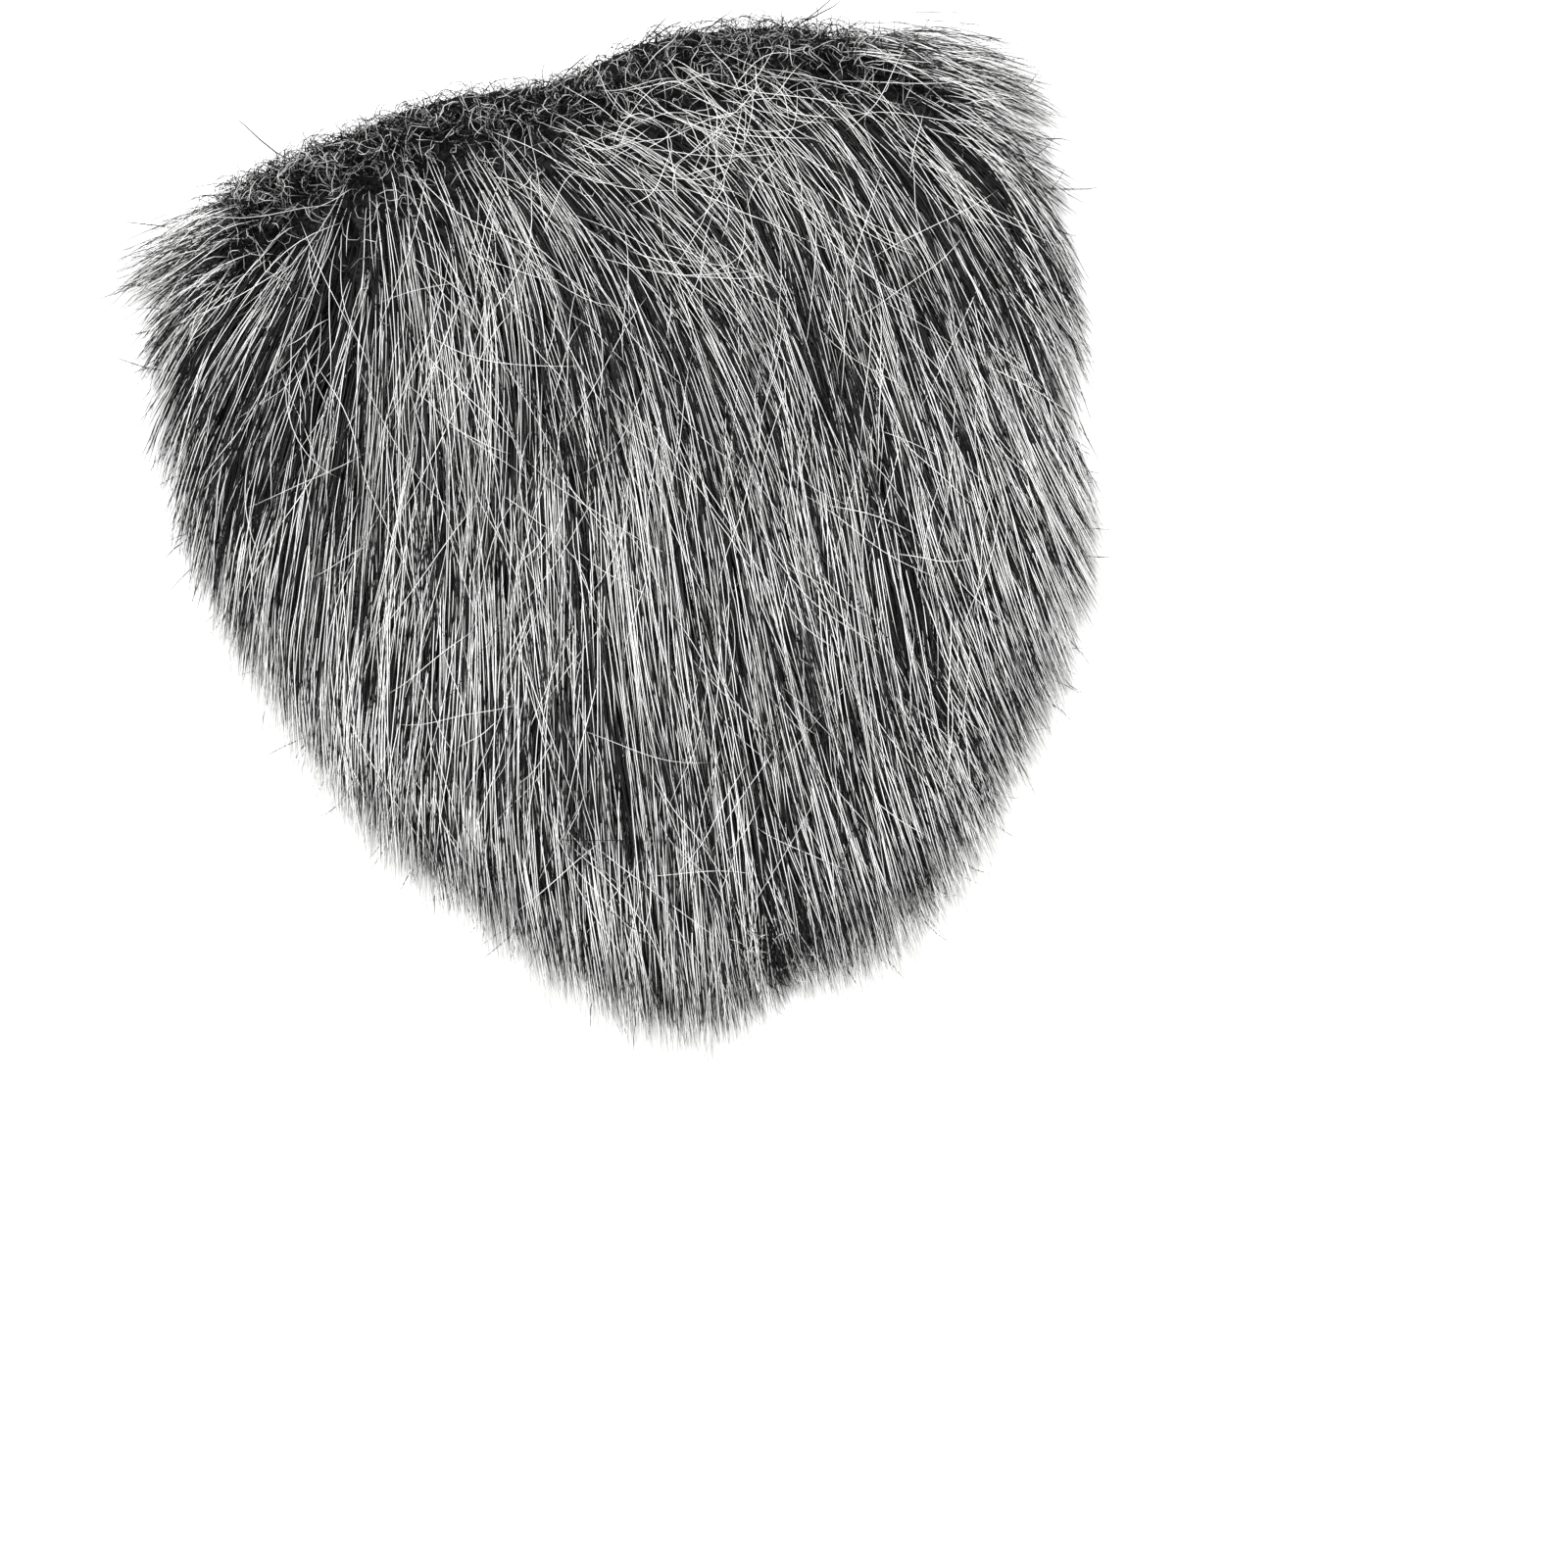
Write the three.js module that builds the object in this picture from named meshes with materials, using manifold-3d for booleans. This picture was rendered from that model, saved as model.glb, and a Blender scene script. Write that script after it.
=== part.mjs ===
// Chin beard cut from long-pile fur fabric, lying on its cloth back with the hair up.
// Millimetres. +Z is up out of the hair, +Y points to the edge that sits under the lower lip, and +X is to the
// right of someone who looks down on it. The origin is in the middle of its footprint, on the surface under it.
// It is built as the fabric is: a knitted backing, a short dense under fur on it, and long hair in locks over both.

import * as THREE from "three";
import { mergeVertices } from "three/addons/utils/BufferGeometryUtils.js";
import Module from "manifold-3d";

const wasm = await Module();
wasm.setup();

// Driving dimensions
const beardWidth = 102; // over the hair, side to side
const beardLength = 105; // over the hair, lip edge to chin
const backingThickness = 1.2; // knitted cloth
const layerGap = 0.3; // clearance between one layer and the next
const underFurDepth = 6.4; // of the short pile, at its deepest
const rootLayerDepth = 2; // how deep the long hair lies where no lock crosses

// A lock of long hair
const lockLength = 36;
const lockWidth = 9; // at its widest
const lockThickness = 5; // at its thickest
const lockRise = 1.6; // how far its middle line stands off the hair under it
const lockSides = 6;
const lockSteps = 24; // straight stretches of its middle line
const lockSpacing = { round: 7.9, across: 9.2, rows: 13 }; // round the rim, and in the rows inside it

// How far each layer's edge lies inside the outline of the hair
const backingInset = { lip: 1.4, side: 5.5, chin: 7.5 };
const underFurInset = { lip: 0, side: 4.2, chin: 6 };
const rootLayerInset = { lip: 3.2, side: 2.9, chin: 4.4 };
const lockRootInset = { lip: 4.4, side: 6.5, chin: 10 };
const noInset = { lip: 0, side: 0, chin: 0 };
const outlinePoints = 96; // corners of each layer's edge
const drape = 6.5; // how far outside the under fur the hair has come down to the surface

// The way the hair is combed. Angles are in degrees from straight down to the chin, and positive towards +X.
const fanCentreAcross = -17; // the hair of the lip edge fans out from a point above this place
const fanCentreAbove = 26; // how far that point lies beyond the lip edge
const fanFade = 24; // how far below the lip edge the fan has mostly gone
const combLean = { left: -15, middle: -4, right: 5 }; // below the fan
const cornerSweep = 30; // further outwards, at the upper corners
const cornerSpan = 20; // how far from a corner the sweep is felt

// The outline of the hair as seen from above, from the dip under the lip anticlockwise.
// across is a share of half the width, and down a share of the length.
const outlineTable = [
  { across: 0.0, down: 0.012 },
  { across: -0.3, down: 0.002 },
  { across: -0.72, down: 0.035 },
  { across: -0.87, down: 0.075 },
  { across: -0.94, down: 0.135 },
  { across: -0.98, down: 0.215 },
  { across: -1.0, down: 0.37 },
  { across: -0.955, down: 0.456 },
  { across: -0.88, down: 0.57 },
  { across: -0.785, down: 0.684 },
  { across: -0.63, down: 0.798 },
  { across: -0.435, down: 0.912 },
  { across: -0.28, down: 0.98 },
  { across: -0.17, down: 1.0 },
  { across: 0.0, down: 0.984 },
  { across: 0.2, down: 0.969 },
  { across: 0.37, down: 0.93 },
  { across: 0.5, down: 0.87 },
  { across: 0.64, down: 0.79 },
  { across: 0.8, down: 0.684 },
  { across: 0.88, down: 0.57 },
  { across: 0.93, down: 0.45 },
  { across: 0.99, down: 0.32 },
  { across: 1.0, down: 0.22 },
  { across: 0.965, down: 0.14 },
  { across: 0.87, down: 0.096 },
  { across: 0.6, down: 0.022 },
  { across: 0.28, down: 0.0 },
];

// How a layer's top falls to its edge. out is a share of the way from the middle to the edge, and height a share of
// its depth.
const domeTable = [
  { out: 0.0, height: 1.0 },
  { out: 0.45, height: 0.98 },
  { out: 0.7, height: 0.9 },
  { out: 0.86, height: 0.76 },
  { out: 0.95, height: 0.56 },
  { out: 1.0, height: 0.3 },
];

// A lock from its root to its tip. along, width, thickness and rise are shares of the lock's own sizes.
const lockTable = [
  { along: 0.0, width: 0.45, thickness: 0.4, rise: -0.9 },
  { along: 0.14, width: 0.78, thickness: 0.8, rise: 0.2 },
  { along: 0.34, width: 1.0, thickness: 1.0, rise: 0.9 },
  { along: 0.58, width: 0.92, thickness: 0.92, rise: 1.0 },
  { along: 0.82, width: 0.6, thickness: 0.62, rise: 0.6 },
];
const lockTipRise = 0.1;

const halfWidth = beardWidth / 2;
const halfLength = beardLength / 2;
const underFurFloor = backingThickness + layerGap;

// A number from -1 to 1 that looks random and is the same for the same seed.
function scatter(seed) {
  const wave = Math.sin(seed * 12.9898 + 4.1414) * 43758.5453;
  return 2 * (wave - Math.floor(wave)) - 1;
}

function degrees(angle) {
  return THREE.MathUtils.degToRad(angle);
}

// The height of a table's named column at a place along another, straight between the rows and level past its ends.
function between(table, key, place, column) {
  const next = table.findIndex((row) => row[key] >= place);
  if (next <= 0) return table[next < 0 ? table.length - 1 : 0][column];
  const before = table[next - 1];
  const share = (place - before[key]) / (table[next][key] - before[key]);
  return THREE.MathUtils.lerp(before[column], table[next][column], share);
}

// The outline of the hair, drawn smoothly through the table, with its sides moved in by an inset.
function outlineInside(inset) {
  const through = outlineTable.map(
    ({ across, down }) => new THREE.Vector3(across * halfWidth, (0.5 - down) * beardLength, 0),
  );
  const curve = new THREE.CatmullRomCurve3(through, true);
  return curve.getSpacedPoints(outlinePoints).slice(0, outlinePoints).map(({ x, y }) => {
    const lengthwise = y > 0 ? inset.lip : inset.chin;
    return new THREE.Vector2(x * (1 - inset.side / halfWidth), y * (1 - lengthwise / halfLength));
  });
}

// How far an outline lies from the middle of the beard on the way through a point.
function rimDistance(outline, x, y) {
  const way = new THREE.Vector2(x, y).normalize();
  let reach = 0;
  outline.forEach((from, i) => {
    const to = outline[(i + 1) % outline.length];
    const edge = to.clone().sub(from);
    const turn = way.cross(edge);
    if (Math.abs(turn) < 1e-9) return;
    const out = from.cross(edge) / turn;
    const share = from.cross(way) / turn;
    if (out > 0 && share >= 0 && share <= 1) reach = Math.max(reach, out);
  });
  return reach;
}

// Where a point lies between the middle of the beard, at 0, and an outline, at 1.
function shareOfWay(outline, x, y) {
  const distance = Math.hypot(x, y);
  return distance < 1e-6 ? 0 : distance / rimDistance(outline, x, y);
}

// A closed surface through rings of points, all with the same number, and a point at each end.
function skinned(rings, firstEnd, lastEnd) {
  const sides = rings[0].length;
  const places = [firstEnd, ...rings.flat(), lastEnd];
  const corner = (ring, side) => 1 + ring * sides + (side % sides);
  const faces = [];
  for (let side = 0; side < sides; side += 1) {
    faces.push(0, corner(0, side + 1), corner(0, side));
    faces.push(places.length - 1, corner(rings.length - 1, side), corner(rings.length - 1, side + 1));
    for (let ring = 0; ring + 1 < rings.length; ring += 1) {
      faces.push(corner(ring, side), corner(ring, side + 1), corner(ring + 1, side + 1));
      faces.push(corner(ring, side), corner(ring + 1, side + 1), corner(ring + 1, side));
    }
  }
  const geometry = new THREE.BufferGeometry().setFromPoints(places);
  geometry.setIndex(faces);
  return geometry;
}

// A mat with a flat floor and a domed top over an outline, grown on all sides but its floor.
function domedMat(outline, floor, depth, grown = 0) {
  const rows = domeTable.slice(1).reverse();
  const ring = (out, height) => outline.map(({ x, y }) => {
    const growth = 1 + grown / Math.hypot(x, y);
    return new THREE.Vector3(x * out * growth, y * out * growth, height);
  });
  const rings = [ring(1, floor), ...rows.map(({ out, height }) => ring(out, floor + depth * height + grown))];
  const top = new THREE.Vector3(0, 0, floor + depth + grown);
  return skinned(rings, new THREE.Vector3(0, 0, floor), top);
}

// The angle at which the hair lies at a place, from straight down to the chin.
function combedAngle(x, y) {
  const share = THREE.MathUtils.clamp(x / halfWidth, -1, 1);
  const side = share < 0 ? combLean.left : combLean.right;
  const lean = THREE.MathUtils.lerp(combLean.middle, side, Math.abs(share));
  const below = halfLength - y;
  const fan = Math.atan2(x - fanCentreAcross, below + fanCentreAbove) * Math.exp(-below / fanFade);
  const toCorner = Math.hypot(halfWidth - Math.abs(x), below);
  const sweep = Math.sign(x) * cornerSweep * Math.exp(-((toCorner / cornerSpan) ** 2));
  return degrees(lean + sweep) + fan;
}

// Solids for cutting and joining, and back again
function solidOf(geometry) {
  const bare = geometry.clone();
  bare.deleteAttribute("normal");
  bare.deleteAttribute("uv");
  const merged = mergeVertices(bare, 1e-4);
  return new wasm.Manifold(new wasm.Mesh({
    numProp: 3,
    vertProperties: new Float32Array(merged.attributes.position.array),
    triVerts: new Uint32Array(merged.index.array),
  }));
}

function geometryOf(solid) {
  const { vertProperties, triVerts } = solid.getMesh();
  const geometry = new THREE.BufferGeometry();
  geometry.setAttribute("position", new THREE.BufferAttribute(vertProperties, 3));
  geometry.setIndex(new THREE.BufferAttribute(triVerts, 1));
  geometry.computeVertexNormals();
  return geometry;
}

// The knitted cloth, cut a little smaller than the hair that hangs over its edge
function backingGeometry() {
  const shape = new THREE.Shape(outlineInside(backingInset));
  return new THREE.ExtrudeGeometry(shape, { depth: backingThickness, bevelEnabled: false });
}

// The short dense pile, which shows as a dark band along the lip edge
const underFurOutline = outlineInside(underFurInset);

function underFurGeometry(grown = 0) {
  return domedMat(underFurOutline, underFurFloor, underFurDepth, grown);
}

// How high the hair lies under a lock at a place: the under fur, and outside its edge a slope down to the surface
function heightUnderLock(x, y) {
  const out = shareOfWay(underFurOutline, x, y);
  const dome = between(domeTable, "out", Math.min(out, 1), "height");
  const draped = THREE.MathUtils.clamp(1 - ((out - 1) * halfWidth) / drape, 0, 1);
  return underFurFloor + underFurDepth * dome * draped + layerGap;
}

const lockRootOutline = outlineInside(lockRootInset);
const lockTipOutline = outlineInside(noInset);

// The middle line of a lock, seen from above: it follows the comb, and stops at the outline of the hair.
function combedLine(start, length, turn) {
  const line = [start];
  while (line.length <= lockSteps) {
    const last = line[line.length - 1];
    const angle = combedAngle(last.x, last.y) + turn;
    const step = new THREE.Vector2(Math.sin(angle), -Math.cos(angle)).multiplyScalar(length / lockSteps);
    const next = last.clone().add(step);
    if (shareOfWay(lockTipOutline, next.x, next.y) > 1) break;
    line.push(next);
  }
  return line;
}

function alongLine(line, share) {
  const place = THREE.MathUtils.clamp(share, 0, 1) * (line.length - 1);
  const before = Math.min(Math.floor(place), line.length - 2);
  return line[before].clone().lerp(line[before + 1], place - before);
}

// One ring of a lock, flat side down where it meets the surface under the hair
function lockRing(line, row, width, thickness) {
  const middle = alongLine(line, row.along);
  const ahead = alongLine(line, row.along + 0.05).sub(alongLine(line, row.along - 0.05)).normalize();
  const height = heightUnderLock(middle.x, middle.y) + lockRise * row.rise;
  return Array.from({ length: lockSides }, (_, side) => {
    const around = (2 * Math.PI * side) / lockSides;
    const across = (Math.cos(around) * row.width * width) / 2;
    const up = (Math.sin(around) * row.thickness * thickness) / 2;
    const z = Math.max(height + up, underFurFloor);
    return new THREE.Vector3(middle.x - ahead.y * across, middle.y + ahead.x * across, z);
  });
}

// A lock of its own length, width and lean. One that the outline cuts short is thinner too.
function lockGeometry(start, seed) {
  const length = lockLength * (1 + 0.14 * scatter(seed));
  const width = lockWidth * (1 + 0.16 * scatter(seed + 0.3));
  const line = combedLine(start, length, degrees(5) * scatter(seed + 0.6));
  const fullness = 0.5 + (0.5 * (line.length - 1)) / lockSteps;
  const rings = lockTable.map((row) => lockRing(line, row, width * fullness, lockThickness * fullness));
  const root = rings[0].reduce((sum, corner) => sum.add(corner), new THREE.Vector3()).divideScalar(lockSides);
  const end = alongLine(line, 1);
  const tip = new THREE.Vector3(end.x, end.y, heightUnderLock(end.x, end.y) + lockRise * lockTipRise);
  return skinned(rings, root, tip);
}

// The roots of the locks all round the rim
function rimRoots() {
  const rim = new THREE.CatmullRomCurve3(lockRootOutline.map(({ x, y }) => new THREE.Vector3(x, y, 0)), true);
  const count = Math.round(rim.getLength() / lockSpacing.round);
  return rim.getSpacedPoints(count).slice(0, count).map(({ x, y }) => new THREE.Vector2(x, y));
}

// The roots inside the rim, in rows across the beard, each row half a lock to the side of the last
function innerRoots() {
  const rows = Math.ceil(beardLength / lockSpacing.rows);
  const columns = Math.ceil(halfWidth / lockSpacing.across);
  const roots = [];
  for (let row = 0; row <= rows; row += 1) {
    for (let column = -columns; column <= columns; column += 1) {
      const seed = row * 31 + column;
      const x = (column + (row % 2) / 2 + 0.16 * scatter(seed + 0.1)) * lockSpacing.across;
      const below = lockRootInset.lip + (row + 0.45 + 0.14 * scatter(seed + 0.2)) * lockSpacing.rows;
      roots.push(new THREE.Vector2(x, halfLength - below));
    }
  }
  return roots.filter(({ x, y }) => shareOfWay(lockRootOutline, x, y) < 0.9);
}

// All the long hair as one body: its locks, fused to the layer that they start in, and hollowed for the under fur
function longHairGeometry() {
  const rootLayer = domedMat(outlineInside(rootLayerInset), underFurFloor, underFurDepth + rootLayerDepth);
  const locks = [...rimRoots(), ...innerRoots()].map((root, i) => solidOf(lockGeometry(root, i)));
  const hair = wasm.Manifold.union([solidOf(rootLayer), ...locks]);
  return geometryOf(largestBody(hair.subtract(solidOf(underFurGeometry(layerGap)))));
}

// The body with the most volume, without the closed bubbles that crossing locks leave between them
function largestBody(solid) {
  return solid.decompose().reduce((largest, body) => (body.volume() > largest.volume() ? body : largest));
}

function piece(name, geometry, colour, roughness) {
  const material = new THREE.MeshStandardMaterial({ color: colour, roughness, metalness: 0 });
  const mesh = new THREE.Mesh(geometry, material);
  mesh.name = name;
  return mesh;
}

const layers = new THREE.Group();
layers.add(piece("backing", backingGeometry(), 0x2b2b2c, 0.95));
layers.add(piece("under_fur", underFurGeometry(), 0x1f1f20, 0.9));
layers.add(piece("long_hair", longHairGeometry(), 0x8c8c8c, 0.6));

// The middle of the footprint goes to the origin
const footprint = new THREE.Box3().setFromObject(layers);
const middle = footprint.getCenter(new THREE.Vector3());
layers.position.set(-middle.x, -middle.y, -footprint.min.z);

const beard = new THREE.Group();
beard.add(layers);

export default beard;
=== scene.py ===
import bpy
import numpy as np
from math import radians, pi
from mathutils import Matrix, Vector


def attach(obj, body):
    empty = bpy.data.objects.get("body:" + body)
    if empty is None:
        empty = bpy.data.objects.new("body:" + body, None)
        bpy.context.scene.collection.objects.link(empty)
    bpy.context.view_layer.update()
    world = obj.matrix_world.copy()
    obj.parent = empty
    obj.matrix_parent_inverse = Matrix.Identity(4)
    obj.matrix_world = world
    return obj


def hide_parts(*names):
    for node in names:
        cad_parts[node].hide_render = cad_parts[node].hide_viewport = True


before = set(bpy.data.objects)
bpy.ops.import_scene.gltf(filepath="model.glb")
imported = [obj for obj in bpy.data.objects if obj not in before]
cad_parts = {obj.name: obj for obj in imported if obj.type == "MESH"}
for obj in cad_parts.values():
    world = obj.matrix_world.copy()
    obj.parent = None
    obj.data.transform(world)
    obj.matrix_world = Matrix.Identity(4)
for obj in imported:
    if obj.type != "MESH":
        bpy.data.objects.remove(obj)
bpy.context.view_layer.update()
scene = bpy.context.scene
mm = 0.001


# The camera looks straight down on the beard through a long lens, turned so that the beard lies at the angle that it
# has in the photograph. The light is one large soft lamp, a weak one across from it, and a pale room.
view_centre = Vector((5.96 * mm, -28.7 * mm, 5 * mm))
view_width = 168 * mm
view_turn = -14
lens = 110
sensor_width = 36

camera_data = bpy.data.cameras.new("camera")
camera_data.lens = lens
camera_data.sensor_width = sensor_width
camera_data.clip_start = 0.01
camera = bpy.data.objects.new("camera", camera_data)
scene.collection.objects.link(camera)
camera.location = view_centre + Vector((0, 0, view_width * lens / sensor_width))
camera.rotation_euler = (0, 0, radians(view_turn))
scene.camera = camera
scene.view_settings.view_transform = "Standard"


def soft_lamp(name, place, size, power):
    lamp_data = bpy.data.lights.new(name, "AREA")
    lamp_data.size = size
    lamp_data.energy = power
    lamp = bpy.data.objects.new(name, lamp_data)
    scene.collection.objects.link(lamp)
    lamp.location = place
    lamp.rotation_euler = (view_centre - Vector(place)).to_track_quat("-Z", "Y").to_euler()


soft_lamp("key_lamp", (-0.22, 0.34, 0.82), 0.4, 16)
soft_lamp("fill_lamp", (0.55, -0.25, 0.60), 0.6, 3.5)

room = bpy.data.worlds.new("room")
scene.world = room
room.use_nodes = True
room.node_tree.nodes["Background"].inputs["Color"].default_value = (1, 1, 1, 1)
room.node_tree.nodes["Background"].inputs["Strength"].default_value = 0.46

bpy.ops.object.select_all(action="DESELECT")
bpy.ops.mesh.primitive_plane_add(size=6, location=(0, 0, -0.0001))
floor = bpy.context.object
floor.name = "floor"
paper = bpy.data.materials.new("white_paper")
paper.use_nodes = True
paper.node_tree.nodes["Principled BSDF"].inputs["Base Color"].default_value = (0.86, 0.86, 0.86, 1)
paper.node_tree.nodes["Principled BSDF"].inputs["Roughness"].default_value = 0.8
floor.data.materials.append(paper)


# The ground cloth of the fur: a charcoal knit cut to a bib shape with rounded corners, a little smaller than the
# hair that hangs over its edge. Its wales run from the lip edge to the chin, and its plain side is stuck on.
half_width = 51.0  # mm over the hair, from its middle to its side
half_length = 52.5
to_frame = np.array([-0.09, -0.30])  # from the middle of the outline's table to the middle of the footprint
backing_thickness = 1.2
cut_waver = 0.0022  # of the scissors, as a share of the distance from the middle
wale_pitch = 1.3
course_pitch = 0.9
cut_rounding = 0.3
inset_backing = {"lip": 1.4, "side": 5.5, "chin": 7.5}
outline_table = [
    # across (share of half the width), down (share of the length)
    (0.0, 0.012), (-0.3, 0.002), (-0.72, 0.035), (-0.87, 0.075), (-0.94, 0.135), (-0.98, 0.215), (-1.0, 0.37),
    (-0.955, 0.456), (-0.88, 0.57), (-0.785, 0.684), (-0.63, 0.798), (-0.435, 0.912), (-0.28, 0.98), (-0.17, 1.0),
    (0.0, 0.984), (0.2, 0.969), (0.37, 0.93), (0.5, 0.87), (0.64, 0.79), (0.8, 0.684), (0.88, 0.57), (0.93, 0.45),
    (0.99, 0.32), (1.0, 0.22), (0.965, 0.14), (0.87, 0.096), (0.6, 0.022), (0.28, -0.005),
]


def outline_inside(inset, count=240):
    """The outline of the hair in mm, drawn smoothly through its table and moved in at the lip, sides and chin."""
    table = np.array(outline_table)
    through = np.c_[table[:, 0] * half_width, (0.5 - table[:, 1]) * 2 * half_length]
    before, after, beyond = (np.roll(through, shift, axis=0) for shift in (1, -1, -2))
    share = np.linspace(0, 1, 24, endpoint=False)[None, :, None]
    p0, p1, p2, p3 = before[:, None], through[:, None], after[:, None], beyond[:, None]
    curve = 0.5 * (2 * p1 + (p2 - p0) * share + (2 * p0 - 5 * p1 + 4 * p2 - p3) * share**2
                   + (3 * p1 - p0 - 3 * p2 + p3) * share**3)
    curve = curve.reshape(-1, 2)
    closed = np.vstack([curve, curve[:1]])
    reach = np.r_[0, np.cumsum(np.linalg.norm(np.diff(closed, axis=0), axis=1))]
    places = np.linspace(0, reach[-1], count, endpoint=False)
    even = np.c_[np.interp(places, reach, closed[:, 0]), np.interp(places, reach, closed[:, 1])]
    even[:, 1] *= np.where(even[:, 1] > 0, 1 - inset["lip"] / half_length, 1 - inset["chin"] / half_length)
    even[:, 0] *= 1 - inset["side"] / half_width
    return even


def smooth_noise(points, size, seed):
    """Waves of about one size that run every way, from -1 to 1, at points in mm."""
    chance = np.random.default_rng(seed)
    total = np.zeros(len(points))
    for _ in range(9):
        way = chance.uniform(0, 2 * pi)
        length = size * chance.uniform(0.7, 1.6)
        travel = points[:, 0] * np.cos(way) + points[:, 1] * np.sin(way)
        total += np.sin(2 * pi * travel / length + chance.uniform(0, 2 * pi))
    return total / 4.5


def new_object(name, mesh):
    thing = bpy.data.objects.new(name, mesh)
    scene.collection.objects.link(thing)
    return thing


edge = outline_inside(inset_backing, 320)
edge = edge * (1 + cut_waver * smooth_noise(edge, size=3.0, seed=5))[:, None] + to_frame
bpy.ops.object.select_all(action="DESELECT")
bpy.ops.mesh.primitive_circle_add(vertices=len(edge), radius=1, fill_type="NGON")
backing = bpy.context.object
backing.name = "knit_backing"
for corner, (x, y) in zip(backing.data.vertices, edge):
    corner.co = (x * mm, y * mm, 0)
bpy.ops.object.mode_set(mode="EDIT")
bpy.ops.mesh.select_all(action="SELECT")
bpy.ops.mesh.extrude_region_move(TRANSFORM_OT_translate={"value": (0, 0, backing_thickness * mm)})
bpy.ops.mesh.select_all(action="SELECT")
bpy.ops.mesh.normals_make_consistent(inside=False)
bpy.ops.object.mode_set(mode="OBJECT")
rounding = backing.modifiers.new("cut_edge", "BEVEL")
rounding.width = cut_rounding * mm
rounding.segments = 2
rounding.limit_method = "ANGLE"
bpy.ops.object.modifier_apply(modifier=rounding.name)
bpy.ops.object.shade_smooth_by_angle(angle=radians(40))

knit = bpy.data.materials.new("charcoal_knit")
knit.use_nodes = True
nodes, links = knit.node_tree.nodes, knit.node_tree.links
shader = nodes["Principled BSDF"]
shader.inputs["Roughness"].default_value = 0.95
shader.inputs["Specular IOR Level"].default_value = 0.2
place = nodes.new("ShaderNodeTexCoord")
wales = nodes.new("ShaderNodeTexWave")
wales.bands_direction = "X"
wales.inputs["Scale"].default_value = 1 / (wale_pitch * mm) / 20
wales.inputs["Distortion"].default_value = 0.6
courses = nodes.new("ShaderNodeTexWave")
courses.bands_direction = "Y"
courses.inputs["Scale"].default_value = 1 / (course_pitch * mm) / 20
courses.inputs["Distortion"].default_value = 0.8
loops = nodes.new("ShaderNodeMath")
loops.operation = "MULTIPLY"
tones = nodes.new("ShaderNodeValToRGB")
tones.color_ramp.elements[0].color = (0.012, 0.012, 0.013, 1)
tones.color_ramp.elements[1].color = (0.07, 0.07, 0.073, 1)
relief = nodes.new("ShaderNodeBump")
relief.inputs["Distance"].default_value = 0.2 * mm
for wave, factor in ((wales, 0), (courses, 1)):
    links.new(place.outputs["Object"], wave.inputs["Vector"])
    links.new(wave.outputs["Fac"], loops.inputs[factor])
links.new(loops.outputs[0], tones.inputs["Fac"])
links.new(loops.outputs[0], relief.inputs["Height"])
links.new(tones.outputs["Color"], shader.inputs["Base Color"])
links.new(relief.outputs["Normal"], shader.inputs["Normal"])
backing.data.materials.append(knit)

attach(backing, "root")
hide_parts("backing")


# The felted bottom of the under fur: the dense dark mat of short curled pile that hides the cloth between the roots.
# It is deepest in the middle and thins to the edge, and its top is lumpy where the pile has matted.
mat_bottom = 1.3
mat_rim_height = 0.15
mat_depth = 4.6
mat_foot = 0.985  # its bottom edge, as a share of its rim
rim_waver = 0.005  # as a share of the distance from the middle
lump_height = 0.45
small_lump_height = 0.3
inset_mat = {"lip": 0.4, "side": 5.2, "chin": 7.0}
dome_table = [
    # out (share of the way from the middle to the edge), height (share of the depth)
    (0.0, 1.0), (0.45, 0.98), (0.7, 0.9), (0.86, 0.76), (0.95, 0.56), (1.0, 0.3),
]


def share_of_way(inset, points):
    """Where points in mm lie between the middle of the beard, at 0, and its outline, at 1."""
    rim = outline_inside(inset, 720)
    turn = np.unwrap(np.arctan2(rim[:, 1], rim[:, 0]))
    reach = np.linalg.norm(rim, axis=1)
    order = np.argsort(turn % (2 * pi))
    way = np.arctan2(points[:, 1], points[:, 0]) % (2 * pi)
    return np.linalg.norm(points, axis=1) / np.interp(way, (turn % (2 * pi))[order], reach[order], period=2 * pi)


def dome(out):
    table = np.array(dome_table)
    return np.interp(out, table[:, 0], table[:, 1])


mat_rim = outline_inside(inset_mat, 240)
mat_rim *= 1 + rim_waver * smooth_noise(mat_rim, size=2.2, seed=10)[:, None]
mat_rings = np.r_[0.999, 0.985, np.linspace(0.955, 0.04, 26)]  # shares of the rim, from it to the middle
mat_points = [np.c_[mat_rim * mat_foot, np.full(len(mat_rim), mat_bottom)]]
for ring in mat_rings:
    flat = mat_rim * ring
    lumps = (lump_height * smooth_noise(flat, size=6.0, seed=11)
             + small_lump_height * smooth_noise(flat, size=2.4, seed=12))
    crown = mat_depth * dome(np.full(len(flat), ring))
    height = mat_bottom + mat_rim_height + crown + lumps * min(1, (1 - ring) * 12)
    mat_points.append(np.c_[flat, height])
sides = len(mat_rim)
poles = [[[0, 0, mat_bottom]], [[0, 0, mat_bottom + mat_rim_height + mat_depth]]]
corners = np.vstack(mat_points + poles)
faces = []
for ring in range(len(mat_points) - 1):
    for side in range(sides):
        after = (side + 1) % sides
        outer, inner = ring * sides, (ring + 1) * sides
        faces.append((outer + side, outer + after, inner + after, inner + side))
last = (len(mat_points) - 1) * sides
for side in range(sides):
    after = (side + 1) % sides
    faces.append((len(corners) - 2, after, side))
    faces.append((len(corners) - 1, last + side, last + after))
corners[:, :2] += to_frame
mat_mesh = bpy.data.meshes.new("under_fur_mat")
mat_mesh.from_pydata([tuple(corner) for corner in corners * mm], [], faces)
mat_mesh.shade_smooth()
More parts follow.
